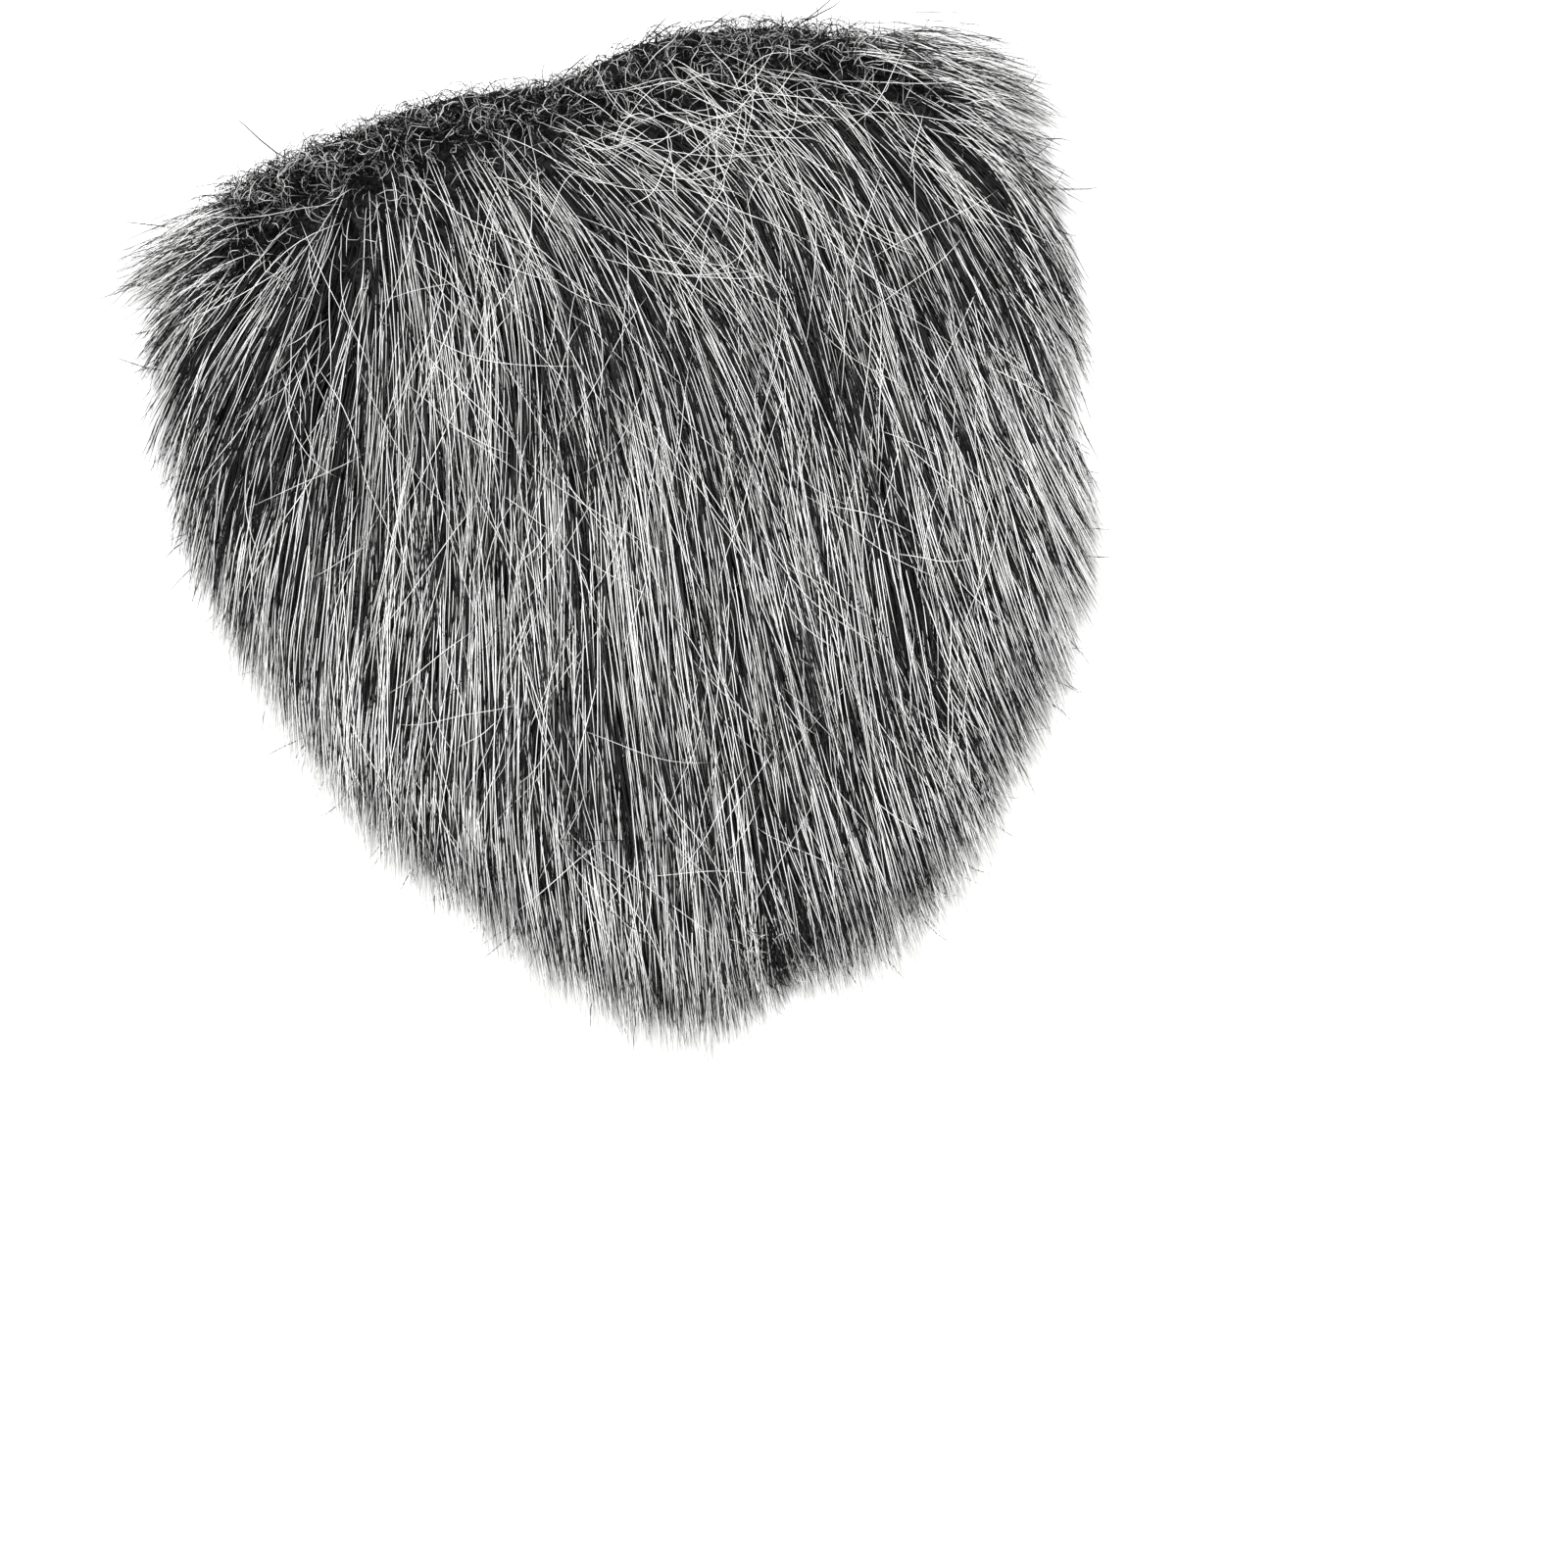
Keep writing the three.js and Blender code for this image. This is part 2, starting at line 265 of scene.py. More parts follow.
mat = new_object("under_fur_mat", mat_mesh)

felt = bpy.data.materials.new("matted_black_pile")
felt.use_nodes = True
nodes, links = felt.node_tree.nodes, felt.node_tree.links
shader = nodes["Principled BSDF"]
shader.inputs["Roughness"].default_value = 1.0
shader.inputs["Specular IOR Level"].default_value = 0.05
place = nodes.new("ShaderNodeTexCoord")
curls = nodes.new("ShaderNodeTexNoise")
curls.inputs["Scale"].default_value = 900
curls.inputs["Detail"].default_value = 6
curls.inputs["Distortion"].default_value = 1.5
tones = nodes.new("ShaderNodeValToRGB")
tones.color_ramp.elements[0].position = 0.42
tones.color_ramp.elements[0].color = (0.004, 0.004, 0.004, 1)
tones.color_ramp.elements[1].position = 0.7
tones.color_ramp.elements[1].color = (0.034, 0.034, 0.035, 1)
relief = nodes.new("ShaderNodeBump")
relief.inputs["Distance"].default_value = 0.5 * mm
links.new(place.outputs["Object"], curls.inputs["Vector"])
links.new(curls.outputs["Fac"], tones.inputs["Fac"])
links.new(curls.outputs["Fac"], relief.inputs["Height"])
links.new(tones.outputs["Color"], shader.inputs["Base Color"])
links.new(relief.outputs["Normal"], shader.inputs["Normal"])
mat_mesh.materials.append(felt)
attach(mat, "root")
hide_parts("under_fur")


# The short pile of the under fur: fine dark curled hairs, 7 to 12 mm long, that stand up out of the mat and lean
# with the comb. They fill the gaps between the tufts of long hair, and show as a black band along the lip edge.
inset_pile = {"lip": 0.3, "side": 5.6, "chin": 7.2}
inset_pile_edge = {"lip": 0, "side": 4.2, "chin": 6}
no_inset = {"lip": 0, "side": 0, "chin": 0}
under_fur_depth = 6.4
cover_depth = 3.3  # of the long hair over the under fur
drape = 6.5  # how far outside the under fur the hair has come down to the surface
coat_end = 1.13  # how far the longest hairs reach, when the outline lies at 1
lip_fade = 24  # how far below the lip edge the lean there has mostly gone
chin_start, chin_full = 52, 98  # how far below the lip edge the lean of the chin begins, and is complete
comb_table = [
    # across (share of half the width), lean in degrees from straight down: at the lip, in the middle, at the chin
    (-1.0, -66, -24, -10), (-0.8, -63, -28, -4), (-0.6, -42, -20, -8), (-0.4, 0, -11, -7), (-0.2, 22, -9, -6),
    (0.0, 44, -6, -4), (0.2, 60, -1, 2), (0.4, 36, 0, 8), (0.6, 38, 3, 14), (0.8, 50, 8, 18), (1.0, 58, 15, 20),
]
coat_foot = 1.5  # the height from which the depths of the under fur and of its cover count
pile_bottom = 1.1
pile_clearance = 0.9  # of its tips under the top of the coat
corner_reach = 0.58  # of a hair's three corners from its middle line, as a share of its width
shades = 64  # numbers of hair colours, from the darkest to the palest


def combed_angle(points):
    """The way the hair lies, in radians from straight down to the chin, positive to the right."""
    table = np.array(comb_table)
    across, below = points[..., 0] / half_width, half_length - points[..., 1]
    lip, middle, chin = (np.interp(across, table[:, 0], table[:, column]) for column in (1, 2, 3))
    near_lip = np.exp(-((np.maximum(below, 0) / lip_fade) ** 2))
    near_chin = np.clip((below - chin_start) / (chin_full - chin_start), 0, 1)
    return np.radians(middle + (lip - middle) * near_lip + (chin - middle) * near_chin)


def hair_top(points):
    """How high the combed hair stands at points in mm, over the surface that the beard lies on."""
    flat = points.reshape(-1, 2)
    out = share_of_way(inset_pile_edge, flat)
    draped = np.clip(1 - (out - 1) * half_width / drape, 0, 1)
    top = coat_foot + under_fur_depth * dome(np.minimum(out, 1)) * draped
    top += cover_depth * (0.22 + 0.78 * np.clip(draped * np.minimum(1, (coat_end - out) * 6), 0, 1))
    return top.reshape(points.shape[:-1])


def scattered_roots(count, inset, chance):
    """Places for roots in mm, evenly at random over the cloth."""
    found = np.empty((0, 2))
    while len(found) < count:
        tries = chance.uniform((-half_width, -half_length), (half_width, half_length), (count * 2, 2))
        found = np.vstack([found, tries[share_of_way(inset, tries) < 1]])
    return found[:count]


def combed_paths(roots, lengths, turns, steps=36):
    """Paths seen from above that start at their roots and follow the comb, each with a turn of its own."""
    paths = np.empty((len(roots), steps + 1, 2))
    paths[:, 0] = roots
    for step in range(steps):
        angle = combed_angle(paths[:, step]) + turns
        stride = np.c_[np.sin(angle), -np.cos(angle)] * (lengths / steps)[:, None]
        paths[:, step + 1] = paths[:, step] + stride
    return paths


def along(paths, shares):
    """Points at shares of the way along each path: one row of shares for each path."""
    place = np.clip(shares, 0, 1) * (paths.shape[1] - 1)
    low = np.minimum(place.astype(int), paths.shape[1] - 2)
    part = (place - low)[..., None]
    row = np.arange(len(paths))[:, None]
    return paths[row, low] * (1 - part) + paths[row, low + 1] * part


def hair_mesh(name, paths, widths, shade):
    """One mesh of many hairs. Each is a closed three-sided spindle along its path, which runs from root to tip
    in mm. Its UV strip has the number of its shade across and runs from root to tip up."""
    count, rings = paths.shape[0], paths.shape[1] - 1
    step = np.gradient(paths, axis=1)
    step /= np.linalg.norm(step, axis=2, keepdims=True) + 1e-9
    side = np.cross(step, (0.0, 0.0, 1.0))
    side /= np.linalg.norm(side, axis=2, keepdims=True) + 1e-9
    up = np.cross(side, step)
    t = np.linspace(0, 1, rings + 1)
    taper = np.interp(t, (0, 0.12, 0.6, 0.85, 1), (0.7, 1, 1, 0.6, 0.15))
    girth = taper[None, :, None] * widths[:, None, None] * corner_reach
    places = []
    for corner in range(3):
        around = pi / 2 + corner * 2 * pi / 3
        places.append(paths + girth * (side * np.cos(around) + up * np.sin(around)))
    body = np.stack(places, axis=2)[:, :rings].reshape(count, rings * 3, 3)
    points = np.concatenate([body, paths[:, -1:]], axis=1)
    per_hair = rings * 3 + 1
    points[..., :2] += to_frame

    loops, sizes, uv = [], [], []

    def strip(corner):
        """How far across the strip of the first shade a corner lies, with a margin on each side."""
        return (0.15 + 0.7 * corner / 3) / shades

    for ring in range(rings - 1):
        for corner in range(3):
            here, there = ring * 3, ring * 3 + 3
            after = (corner + 1) % 3
            loops += [here + corner, here + after, there + after, there + corner]
            uv += [(strip(corner), t[ring]), (strip(corner + 1), t[ring]),
                   (strip(corner + 1), t[ring + 1]), (strip(corner), t[ring + 1])]
            sizes.append(4)
    for corner in range(3):
        end = (rings - 1) * 3
        loops += [end + corner, end + (corner + 1) % 3, rings * 3]
        uv += [(strip(corner), t[-2]), (strip(corner + 1), t[-2]), (strip(corner + 0.5), 1.0)]
        sizes.append(3)
    loops += [2, 1, 0]
    uv += [(strip(0.3), 0.0), (strip(1.5), 0.02), (strip(2.7), 0.0)]
    sizes.append(3)

    loops, sizes, uv = np.array(loops), np.array(sizes), np.array(uv)
    all_loops = (loops[None] + per_hair * np.arange(count)[:, None]).ravel()
    all_sizes = np.tile(sizes, count)
    all_uv = np.tile(uv, (count, 1))
    all_uv[:, 0] += np.repeat(shade / shades, len(uv))
    all_uv[:, 1] = 0.01 + 0.98 * all_uv[:, 1]

    mesh = bpy.data.meshes.new(name)
    mesh.vertices.add(count * per_hair)
    mesh.vertices.foreach_set("co", (points * mm).ravel())
    mesh.loops.add(len(all_loops))
    mesh.loops.foreach_set("vertex_index", all_loops)
    mesh.polygons.add(len(all_sizes))
    mesh.polygons.foreach_set("loop_start", np.r_[0, np.cumsum(all_sizes)[:-1]])
    mesh.polygons.foreach_set("loop_total", all_sizes)
    mesh.polygons.foreach_set("use_smooth", np.ones(len(all_sizes), bool))
    layer = mesh.uv_layers.new(name="OFBake")
    layer.data.foreach_set("uv", all_uv.ravel())
    mesh.update(calc_edges=True)
    mesh.validate()
    return mesh


def hair_material(name, colours, root_shade_along_hair, roughness, gloss):
    """Hair coloured by its shade number, across its UV strip, and from root to tip, with painted shade at the root.
    """
    material = bpy.data.materials.new(name)
    material.use_nodes = True
    nodes, links = material.node_tree.nodes, material.node_tree.links
    shader = nodes["Principled BSDF"]
    shader.inputs["Roughness"].default_value = roughness
    shader.inputs["Specular IOR Level"].default_value = gloss
    strip = nodes.new("ShaderNodeUVMap")
    strip.uv_map = "OFBake"
    split = nodes.new("ShaderNodeSeparateXYZ")
    ramps = []
    for stops, way in ((colours, "X"), (root_shade_along_hair, "Y")):
        ramp = nodes.new("ShaderNodeValToRGB")
        while len(ramp.color_ramp.elements) < len(stops):
            ramp.color_ramp.elements.new(0.5)
        for element, (position, colour) in zip(ramp.color_ramp.elements, stops):
            element.position = position
            element.color = (*colour, 1)
        links.new(split.outputs[way], ramp.inputs["Fac"])
        ramps.append(ramp)
    mix = nodes.new("ShaderNodeMix")
    mix.data_type = "RGBA"
    mix.blend_type = "MULTIPLY"
    mix.inputs["Factor"].default_value = 1
    links.new(strip.outputs["UV"], split.inputs["Vector"])
    links.new(ramps[0].outputs["Color"], mix.inputs["A"])
    links.new(ramps[1].outputs["Color"], mix.inputs["B"])
    links.new(mix.outputs["Result"], shader.inputs["Base Color"])
    return material


def hair_piece(name, paths, widths, shade, material, node):
    piece = new_object(name, hair_mesh(name, paths, widths, shade))
    piece.data.materials.append(material)
    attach(piece, "root")
    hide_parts(node)


dark_pile = hair_material(
    "dark_curled_pile",
    [(0.0, (0.003, 0.003, 0.003)), (0.8, (0.014, 0.014, 0.015)), (1.0, (0.06, 0.06, 0.06))],
    # along the hair: painted shade at the root, where the pile goes down into the mat
    [(0.0, (0.6, 0.6, 0.6)), (0.5, (1, 1, 1)), (1.0, (1, 1, 1))],
    roughness=0.7, gloss=0.04,
)
pile_chance = np.random.default_rng(21)
pile_count = 4600
pile_roots = scattered_roots(pile_count, inset_pile, pile_chance)
pile_length = pile_chance.uniform(6.5, 12, pile_count)
pile_turn = pile_chance.normal(0, radians(32), pile_count)
pile_flat = combed_paths(pile_roots, pile_length, pile_turn, 12)
pile_knots = np.linspace(0, 1, 5)
pile_flat = along(pile_flat, np.tile(pile_knots, (pile_count, 1)))
curl = pile_chance.uniform(0, 2 * pi, (pile_count, 1)) + pile_knots * pile_chance.uniform(3, 7, (pile_count, 1))
curl_size = pile_chance.uniform(0.3, 1.0, (pile_count, 1)) * pile_knots
pile_flat += np.stack([np.cos(curl), np.sin(curl)], axis=2) * curl_size[..., None]
pile_top = np.minimum(backing_thickness + under_fur_depth * 1.05, hair_top(pile_flat) - pile_clearance)
pile_rise = pile_knots**0.8 * pile_chance.uniform(0.75, 1.0, (pile_count, 1))
pile_paths = np.dstack([pile_flat, pile_bottom + (pile_top - pile_bottom) * pile_rise])
hair_piece("short_pile", pile_paths, pile_chance.uniform(0.11, 0.17, pile_count),
           pile_chance.integers(0, shades, pile_count), dark_pile, "under_fur")


# The long hair: straight acrylic guard hairs, up to 36 mm long and about 0.1 mm thick, near-white ones mixed with
# charcoal ones. They are combed down from the lip edge to the chin in tufts, with their tips in the top of the coat.
hair_length = 36.0
hair_bottom = 1.1
lowest_hair = 0.35  # over the surface that the beard lies on
dark_shades = 28  # how many of the shades are those of charcoal hairs
first_under_pale, first_pale, first_top_pale = 34, 36, 40  # where the shades of pale hairs begin
lock_pitch = 9.0
tuft_pitch = 2.7
inset_hair_roots = {"lip": 3.0, "side": 5.7, "chin": 7.6}
hair_chance = np.random.default_rng(7)

long_grey = hair_material(
    "grey_guard_hair",
    [(0.0, (0.005, 0.005, 0.005)), (0.42, (0.022, 0.022, 0.023)), (0.5, (0.4, 0.4, 0.4)),
     (0.6, (0.78, 0.78, 0.775)), (1.0, (0.97, 0.97, 0.96))],
    # along the hair: painted shade at the root, where the hair goes down into the coat, and a warm tint at the tip
    [(0.0, (0.4, 0.4, 0.4)), (0.25, (0.95, 0.95, 0.95)), (0.8, (1, 1, 1)), (1.0, (1, 0.98, 0.92))],
    roughness=0.5, gloss=0.15,
)


def grid_roots(pitch, inset, chance):
    """Roots about one pitch apart, with each second row half a pitch along and all of them a little out of line."""
    rows = np.arange(-half_length, half_length, pitch * 0.87)
    columns = np.arange(-half_width, half_width, pitch)
    places = np.array([(x + pitch / 2 * (i % 2), y) for i, y in enumerate(rows) for x in columns])
    places += chance.uniform(-0.38, 0.38, places.shape) * pitch
    return places[share_of_way(inset, places) < 1]


def nearest(points, places):
    found = np.empty(len(points), int)
    for start in range(0, len(points), 2000):
        some = points[start:start + 2000]
        found[start:start + 2000] = np.argmin(((some[:, None] - places[None]) ** 2).sum(axis=2), axis=1)
    return found


def clumped(paths, roots, leaders, leader_roots, pull, spread, power):
    """Draws paths together towards the path of their leader, more and more towards the tip."""
    t = np.linspace(0, 1, paths.shape[1])[None, :, None] ** power
    goal = leaders + (roots - leader_roots)[:, None] * spread
    share = pull[:, None, None] * t
    return paths * (1 - share) + goal * share


lock_roots = grid_roots(lock_pitch, no_inset, hair_chance)
lock_turn = hair_chance.normal(0, radians(4.5), len(lock_roots))
lock_paths = combed_paths(lock_roots, np.full(len(lock_roots), hair_length), lock_turn)
lock_rise = hair_chance.uniform(-0.7, 0.7, len(lock_roots))
lock_pale = hair_chance.uniform(-0.07, 0.07, len(lock_roots))

tuft_roots = grid_roots(tuft_pitch, no_inset, hair_chance)
tuft_lock = nearest(tuft_roots, lock_roots)
tuft_paths = combed_paths(tuft_roots, np.full(len(tuft_roots), hair_length),
                          lock_turn[tuft_lock] + hair_chance.normal(0, radians(5), len(tuft_roots)))
tuft_paths = clumped(tuft_paths, tuft_roots, lock_paths[tuft_lock], lock_roots[tuft_lock],
                     hair_chance.uniform(0.0, 0.2, len(tuft_roots)), 0.6, 1.1)
tuft_rise = lock_rise[tuft_lock] + hair_chance.uniform(-0.3, 0.3, len(tuft_roots))
tuft_pale = lock_pale[tuft_lock] + hair_chance.uniform(-0.08, 0.08, len(tuft_roots))
tuft_pull = hair_chance.uniform(0.0, 0.2, len(tuft_roots))
tuft_reach = hair_chance.normal(0, 0.018, len(tuft_roots))


def bare(roots):
    """The share of the long hairs that are missing at roots in mm, which is large along the lip edge."""
    below_lip = half_length - roots[:, 1] - 5.5 * np.clip((np.abs(roots[:, 0]) - 25) / 22, 0, 1) ** 2
    return (0.75 - 0.2 * np.exp(-(((roots[:, 0] - 12) / 12) ** 2))) * np.exp(-((below_lip / 8.5) ** 2))


def long_hair_roots(tries, share):
    """Roots in mm, and the tuft of each. A share of the tries is kept, one in the middle and another at the rim,
    and it varies by tuft."""
    roots = scattered_roots(tries, inset_hair_roots, hair_chance)
    tuft = nearest(roots, tuft_roots)
    rim = np.clip((share_of_way(no_inset, roots) - 0.6) / 0.25, 0, 1)
    rim = rim * np.clip((22 - roots[:, 1]) / 12, 0, 1)  # it isn't felt in the lip zone
    share = share[0] + (share[1] - share[0]) * rim + tuft_pale[tuft]
    keep = hair_chance.uniform(0, 1, tries) < share * (1 - bare(roots))
    return roots[keep], tuft[keep]


def long_hairs(roots, tuft, knots, shortest, rise, wild_share, stray, levels, run_out, stop_short):
    """Paths in mm of long hairs, combed with their tufts, between two levels that are shares of the height of the
    coat. They stray from the comb by a share of the usual amount, apart from a few wild ones. Each ends at its own
    length, of which the shortest is a share of the full one, or near the outline, where the coat is trimmed.
    It ends in wisps there: pale hairs run out past it and dark ones stop short."""
    count = len(roots)
    wild = hair_chance.uniform(0, 1, count) < wild_share
    turn = lock_turn[tuft_lock[tuft]] + hair_chance.normal(0, np.where(wild, radians(16), radians(3 * stray)))
    paths = combed_paths(roots, np.full(count, hair_length), turn)
    pull = tuft_pull[tuft] * np.where(wild, 0.3, 1)
    paths = clumped(paths, roots, tuft_paths[tuft], tuft_roots[tuft], pull, 0.35, 0.9)

    wispy = np.clip(0.55 - (0.4 * roots[:, 0] + roots[:, 1]) / 60, 0.2, 1)  # most at the lower left
    reach = 1.02 + tuft_reach[tuft] + (0.02 - stop_short) * wispy
    reach += hair_chance.exponential(run_out * (0.4 + 0.6 * wispy)) - hair_chance.exponential(0.02, count)
    out = share_of_way(no_inset, paths.reshape(-1, 2)).reshape(count, -1)
    too_far = out > np.minimum(reach, coat_end)[:, None]
    cut = np.where(too_far.any(axis=1), np.argmax(too_far, axis=1) / (out.shape[1] - 1), 1)
    ends = np.maximum(np.minimum(cut, hair_chance.uniform(shortest, 1.0, count)), 0.14)

    way = np.linspace(0, 1, knots) ** 1.1
    flat = along(paths, way * ends[:, None])
    wave = hair_chance.uniform(0, 2 * pi, (count, 1)) + way * hair_chance.uniform(3, 9, (count, 1))
    sway = np.sin(wave) * hair_chance.uniform(0.05, 0.4, (count, 1)) * stray * np.minimum(1, way * 3)
    heading = combed_angle(flat)
    flat = flat + np.stack([np.cos(heading), np.sin(heading)], axis=2) * sway[..., None]

    level = levels[1] - (levels[1] - levels[0]) * hair_chance.uniform(0, 1, (count, 1)) ** 1.3
    lift = 1 - (1 - np.clip(way * ends[:, None] * hair_length / rise, 0, 1)) ** 2
    top = hair_top(flat)
    top = top + tuft_rise[tuft][:, None] * np.clip(top / 6 - 0.4, 0, 1)
    return np.dstack([flat, np.maximum(hair_bottom + (top * level - hair_bottom) * lift, lowest_hair)])


def evenly_spaced(paths, gap, clear_share):
    """Which hairs stay, when each in its turn has to keep a gap in mm from the earlier ones, over a share of the
    way that it lies in the top of the coat."""
    cell = 0.05
    map_half = 70
    surfaced = 0.3  # the share of the way at which a hair has come up through the coat
    samples = along(paths[..., :2], np.tile(np.linspace(surfaced, 1, 170), (len(paths), 1)))
    cells = ((samples + map_half) / cell).astype(int)
    span = np.arange(-int(gap / cell) - 1, int(gap / cell) + 2)
    near = np.array([(i, j) for i in span for j in span if i * i + j * j <= (gap / cell) ** 2])
    taken = np.zeros((round(2 * map_half / cell), round(2 * map_half / cell)), bool)
    stays = np.zeros(len(paths), bool)
    for hair, places in enumerate(cells):
        if taken[places[:, 0], places[:, 1]].mean() <= 1 - clear_share:
            stays[hair] = True
            around = (places[:, None] + near[None]).reshape(-1, 2)
            taken[around[:, 0], around[:, 1]] = True
    return stays


# Partings, where few pale hairs cover the black pile: patches near the upper corners, a gap at the chin, and slits
# under a millimetre wide between the tufts everywhere.
parting_table = [
    # across, up, half width, half length (mm), share of the pale hairs that are gone
    (-34, 42.5, 5.0, 2.5, 0.75), (-27.5, 36, 1.4, 4.5, 0.9), (-38, 20, 0.8, 3.0, 0.7), (-31, 27, 0.7, 3.0, 0.6),
    (29, 43, 2.2, 3.5, 0.7), (36, 40, 1.3, 3.0, 0.5), (41, 29, 0.6, 2.5, 0.4), (2.5, 33, 0.6, 3.0, 0.8),
    (16, 34, 0.5, 3.0, 0.8), (0.8, -46.2, 0.9, 1.6, 1.0),
]
slit_count = 120
slit_places = scattered_roots(slit_count, inset_hair_roots, hair_chance)
slits = np.c_[slit_places, hair_chance.uniform(0.15, 0.35, slit_count), hair_chance.uniform(1.2, 3.0, slit_count),
              hair_chance.uniform(0.3, 0.75, slit_count)]
partings = np.vstack([parting_table, slits])


def parted(paths):
    """Which of the hairs stay, when most of those that would cover a parting are gone."""
    stays = np.ones(len(paths))
    seen = along(paths[..., :2], np.tile(np.linspace(0.1, 1, 28), (len(paths), 1)))
    for x, y, half_across, half_along, gone in partings:
        lean = combed_angle(np.array([x, y]))
        offset = seen - (x, y)
        down = offset[..., 0] * np.sin(lean) - offset[..., 1] * np.cos(lean)
        aside = offset[..., 0] * np.cos(lean) + offset[..., 1] * np.sin(lean)
        inside = np.exp(-((aside / half_across) ** 2) - (down / half_along) ** 2).max(axis=1)
        stays *= 1 - gone * inside
    return hair_chance.uniform(0, 1, len(paths)) < stays


# The top of the coat is pale hairs that lie side by side and hardly cross, fewer and finer ones towards the lip.
# Under them lie the dark hairs, mixed with more pale ones.
top_roots, top_tuft = long_hair_roots(tries=40000, share=(1.0, 1.0))
top_paths = long_hairs(top_roots, top_tuft, knots=9, shortest=0.2, rise=9, wild_share=0.04, stray=0.4,
                       levels=(0.95, 1.0), run_out=0.03, stop_short=0.0)
stay = np.flatnonzero(evenly_spaced(top_paths, gap=0.12, clear_share=0.8))
stay = stay[parted(top_paths[stay])]
to_lip = 0.25 * np.clip((top_roots[:, 1] - 8) / 20, 0, 1)  # how much fewer and finer they are
top_share = 0.92 + 0.5 * tuft_pale[top_tuft[stay]] - to_lip[stay]
stay = stay[hair_chance.uniform(0, 1, len(stay)) < top_share]
top_widths = hair_chance.uniform(0.09, 0.12, len(stay)) * (1 - to_lip[stay])
hair_piece("top_hair", top_paths[stay], top_widths,
           hair_chance.integers(first_top_pale, shades, len(stay)), long_grey, "long_hair")

pale_roots, pale_tuft = long_hair_roots(tries=21000, share=(0.17, 0.42))
pale_paths = long_hairs(pale_roots, pale_tuft, knots=7, shortest=0.62, rise=15, wild_share=0.2, stray=1,
                        levels=(0.64, 0.97), run_out=0.06, stop_short=0.0)
stay = parted(pale_paths)
pale_roots, pale_paths = pale_roots[stay], pale_paths[stay]
pale_widths = hair_chance.uniform(0.075, 0.1, len(pale_roots))
pale_shade = hair_chance.integers(first_under_pale, shades, len(pale_roots))
for zone, members in zip(("chin", "lip"), np.array_split(np.argsort(pale_roots[:, 1]), 2)):
    hair_piece("pale_hair_" + zone, pale_paths[members], pale_widths[members], pale_shade[members],
               long_grey, "long_hair")

dark_roots, dark_tuft = long_hair_roots(tries=18500, share=(0.74, 0.54))
dark_paths = long_hairs(dark_roots, dark_tuft, knots=5, shortest=0.62, rise=15, wild_share=0.1, stray=1,
                        levels=(0.62, 0.96), run_out=0.008, stop_short=0.05)
dark_widths = hair_chance.uniform(0.1, 0.15, len(dark_roots))
dark_shade = hair_chance.integers(0, dark_shades, len(dark_roots))
for zone, members in zip(("chin", "lip"), np.array_split(np.argsort(dark_roots[:, 1]), 2)):
    hair_piece("dark_hair_" + zone, dark_paths[members], dark_widths[members], dark_shade[members],
               long_grey, "long_hair")


# Stray hairs: single hairs, most of them pale, that lie across the comb on top of the coat, some in long arcs. To
# the right of the middle, near the lip, a knot of them has been rubbed into a tangle.
stray_chance = np.random.default_rng(33)


def wandering_paths(starts, headings, lengths, bends, waver, chance, points=10):
    """Curved paths seen from above. They start in their own heading, bend evenly, and waver on the way."""
    bend = np.linspace(0, 1, points)[None] * bends[:, None]
    phase = chance.uniform(0, 2 * pi, (len(starts), 1))
    wobble = waver * np.sin(phase + np.linspace(0, 1, points)[None] * chance.uniform(4, 9, (len(starts), 1)))
    angle = headings[:, None] + bend + wobble
    strides = np.stack([np.sin(angle), -np.cos(angle)], axis=2) * (lengths / (points - 1))[:, None, None]
    gone = np.cumsum(strides[:, :-1], axis=1)
    return starts[:, None] + np.concatenate([np.zeros_like(strides[:, :1]), gone], axis=1)


stray_count = 650
near_lip_count = 100  # of them, that lie in the upper part
loose_count = 280  # of them, that cross the comb at larger angles
stray_end = 1.015  # how far they may reach, when the outline lies at 1
root_dip = 1.2  # of their first points into the coat
pale_stray_share = 0.85
stray_roots = scattered_roots(stray_count, {"lip": 3, "side": 9, "chin": 12}, stray_chance)
stray_roots[:near_lip_count, 1] = 24 + np.abs(stray_roots[:near_lip_count, 1]) * 0.45
stray_spread = np.where(np.arange(stray_count) < loose_count, radians(34), radians(16))
stray_heading = combed_angle(stray_roots) + stray_chance.normal(0, stray_spread)
stray_flat = wandering_paths(stray_roots, stray_heading, stray_chance.uniform(5, 22, stray_count),
                             stray_chance.normal(0, 0.4, stray_count), 0.1, stray_chance)
tangle_count = 80
tangle_roots = stray_chance.normal((14, 41), (6.0, 3.6), (tangle_count, 2))
tangle_flat = wandering_paths(tangle_roots, stray_chance.uniform(0, 2 * pi, tangle_count),
                              stray_chance.uniform(4, 10, tangle_count), stray_chance.normal(0, 0.8, tangle_count),
                              0.2, stray_chance)
stray_flat = np.vstack([stray_flat, tangle_flat])
stray_out = share_of_way(no_inset, stray_flat.reshape(-1, 2)).reshape(len(stray_flat), -1)
stray_flat = stray_flat[stray_out.max(axis=1) < stray_end]
stray_top = hair_top(stray_flat) * stray_chance.uniform(0.93, 1.06, (len(stray_flat), 1)) + 0.15
stray_top -= root_dip * (1 - np.minimum(1, np.linspace(0, 1, 10) * 6))
stray_shade = np.where(stray_chance.uniform(0, 1, len(stray_flat)) < pale_stray_share,
                       stray_chance.integers(first_pale, shades, len(stray_flat)),
                       stray_chance.integers(0, dark_shades, len(stray_flat)))
hair_piece("stray_hair", np.dstack([stray_flat, stray_top]), stray_chance.uniform(0.06, 0.08, len(stray_flat)),
           stray_shade, long_grey, "long_hair")


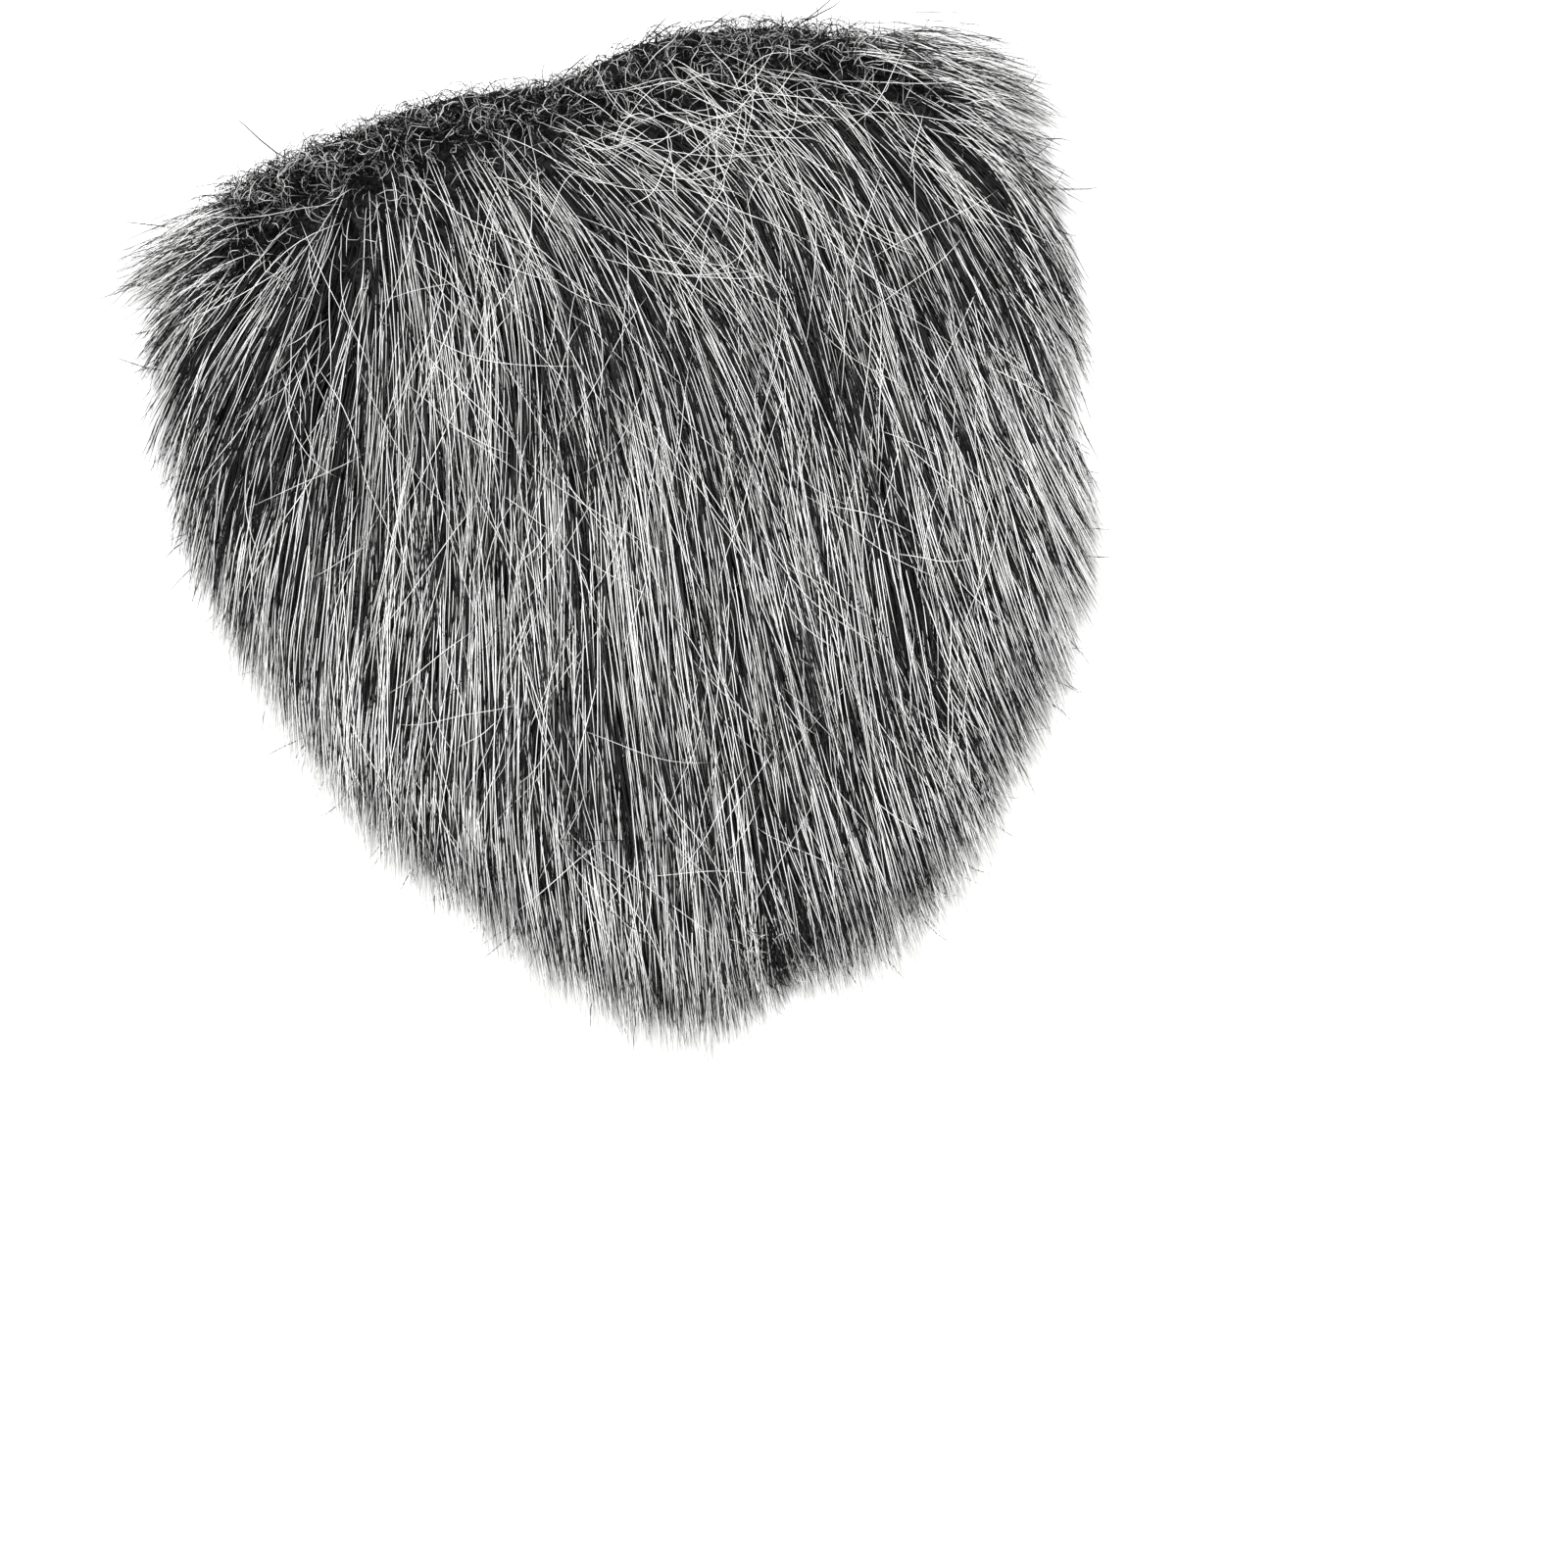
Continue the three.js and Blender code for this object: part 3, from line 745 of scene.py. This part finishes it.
# The wisps of the two upper corners: fine tufts that sweep out sideways, past the cut edge of the cloth.
pale_corner_share = 0.42
corner_chance = np.random.default_rng(55)
corner_tufts = [
    # across, up, heading (degrees from straight down to the chin, positive to the right), length, hairs
    (-35, 45.5, -86, 14, 120), (-37, 43, -84, 19, 190), (-38, 39.5, -74, 12, 120), (-42, 37, -60, 12, 140),
    (32, 46.8, 68, 13, 70), (36.5, 46, 67, 17, 190), (39.5, 43, 66, 16.5, 190), (42, 38.5, 58, 14, 140),
    (44, 33, 46, 13, 120),
]
for_each = np.repeat(np.array(corner_tufts), [int(row[4]) for row in corner_tufts], axis=0)
corner_count = len(for_each)
fray = corner_chance.normal(0, 1, corner_count)
corner_roots = for_each[:, :2] + corner_chance.normal(0, 1.3, (corner_count, 2))
corner_heading = np.radians(for_each[:, 2] + 8 * fray)
corner_length = for_each[:, 3] * corner_chance.uniform(0.55, 1.0, corner_count) * (1 - 0.1 * np.abs(fray))
corner_flat = wandering_paths(corner_roots, corner_heading, corner_length,
                              -np.sign(for_each[:, 0]) * corner_chance.uniform(0.0, 0.45, corner_count), 0.12,
                              corner_chance, points=7)
corner_lift = np.minimum(1, np.linspace(0.25, 2.2, 7))[None] * corner_chance.uniform(0.55, 1.0, (corner_count, 1))
corner_top = hair_bottom + (hair_top(corner_flat) - 0.8) * corner_lift
corner_shade = np.where(corner_chance.uniform(0, 1, corner_count) < pale_corner_share,
                        corner_chance.integers(first_pale, shades, corner_count),
                        corner_chance.integers(0, dark_shades, corner_count))
hair_piece("corner_wisps", np.dstack([corner_flat, corner_top]), corner_chance.uniform(0.06, 0.09, corner_count),
           corner_shade, long_grey, "long_hair")


# The frizz of the lip edge: short crimped hairs, mostly black, that were cut with the cloth and curl up and out
# over it. The nearest ones to the cut stay low, as a soft fuzz that hides the edge.
frizz_chance = np.random.default_rng(44)
frizz_count = 5000
fuzz_count = 1900  # of them, that are rooted close to the cut
first_grey = 45  # the first of the shades of crimped hairs that is grey
black_frizz_share = 0.68
fuzz_rise = 0.6  # of the fuzz, as a share of the height of the rest
lip_rim = outline_inside({"lip": 1.2, "side": 3.5, "chin": 0}, 2000)
lip_rim = lip_rim[(lip_rim[:, 1] > 30) & (np.abs(lip_rim[:, 0]) < 38)]
weights = 1 + 0.6 * np.exp(-(((lip_rim[:, 0] + 20) / 24) ** 2))
pick = frizz_chance.choice(len(lip_rim), frizz_count, p=weights / weights.sum())
is_fuzz = np.arange(frizz_count) < fuzz_count
frizz_roots = lip_rim[pick] - np.c_[np.zeros(frizz_count), frizz_chance.exponential(np.where(is_fuzz, 0.3, 3.2))]
frizz_roots += frizz_chance.normal(0, np.where(is_fuzz, 0.5, 0.8)[:, None], (frizz_count, 2))
frizz_flat = wandering_paths(frizz_roots, frizz_chance.uniform(0, 2 * pi, frizz_count),
                             frizz_chance.uniform(2.0, 6.5, frizz_count), frizz_chance.normal(0, 2.6, frizz_count),
                             0.6, frizz_chance, points=7)
frizz_out = share_of_way(no_inset, frizz_flat.reshape(-1, 2)).reshape(frizz_count, -1)
frizz_keep = frizz_out.max(axis=1) < 1.008 + frizz_chance.exponential(0.01, frizz_count)
frizz_flat, is_fuzz = frizz_flat[frizz_keep], is_fuzz[frizz_keep]
kept = len(frizz_flat)
frizz_rise = np.sin(np.linspace(0.1, 1, 7) * pi * 0.62)[None] * frizz_chance.uniform(0.5, 1.1, (kept, 1))
frizz_rise *= np.where(is_fuzz, fuzz_rise, 1)[:, None]
frizz_top = backing_thickness + (hair_top(frizz_flat) - backing_thickness) * frizz_rise
frizz_shade = np.where(frizz_chance.uniform(0, 1, kept) < black_frizz_share,
                       frizz_chance.integers(0, first_grey, kept),
                       frizz_chance.integers(first_grey, shades, kept))
crimped = hair_material(
    "crimped_black_and_grey_hair",
    [(0.0, (0.003, 0.003, 0.003)), (0.7, (0.012, 0.012, 0.012)), (0.76, (0.25, 0.25, 0.25)),
     (1.0, (0.75, 0.75, 0.74))],
    # along the hair: painted shade at the root, where the crimped hair goes down into the fuzz
    [(0.0, (0.5, 0.5, 0.5)), (0.6, (1, 1, 1)), (1.0, (1, 1, 1))],
    roughness=0.6, gloss=0.06,
)
hair_piece("lip_frizz", np.dstack([frizz_flat, frizz_top]), frizz_chance.uniform(0.065, 0.1, kept),
           frizz_shade, crimped, "long_hair")


# The whorl at the chin: a few short hairs that curl round a gap in the coat, just above the trimmed edge.
whorl_chance = np.random.default_rng(66)
whorl_count = 70
whorl_roots = whorl_chance.normal((0.4, -46.2), 0.7, (whorl_count, 2))
whorl_flat = wandering_paths(whorl_roots, whorl_chance.uniform(0, 2 * pi, whorl_count),
                             whorl_chance.uniform(2, 5.5, whorl_count), whorl_chance.normal(0, 1.6, whorl_count),
                             0.3, whorl_chance, points=7)
whorl_top = hair_top(whorl_flat) * np.linspace(0.6, 1.05, 7)
whorl_shade = np.where(whorl_chance.uniform(0, 1, whorl_count) < 0.6,
                       whorl_chance.integers(0, dark_shades, whorl_count),
                       whorl_chance.integers(first_top_pale, shades, whorl_count))
hair_piece("chin_whorl", np.dstack([whorl_flat, whorl_top]), whorl_chance.uniform(0.08, 0.11, whorl_count),
           whorl_shade, long_grey, "long_hair")
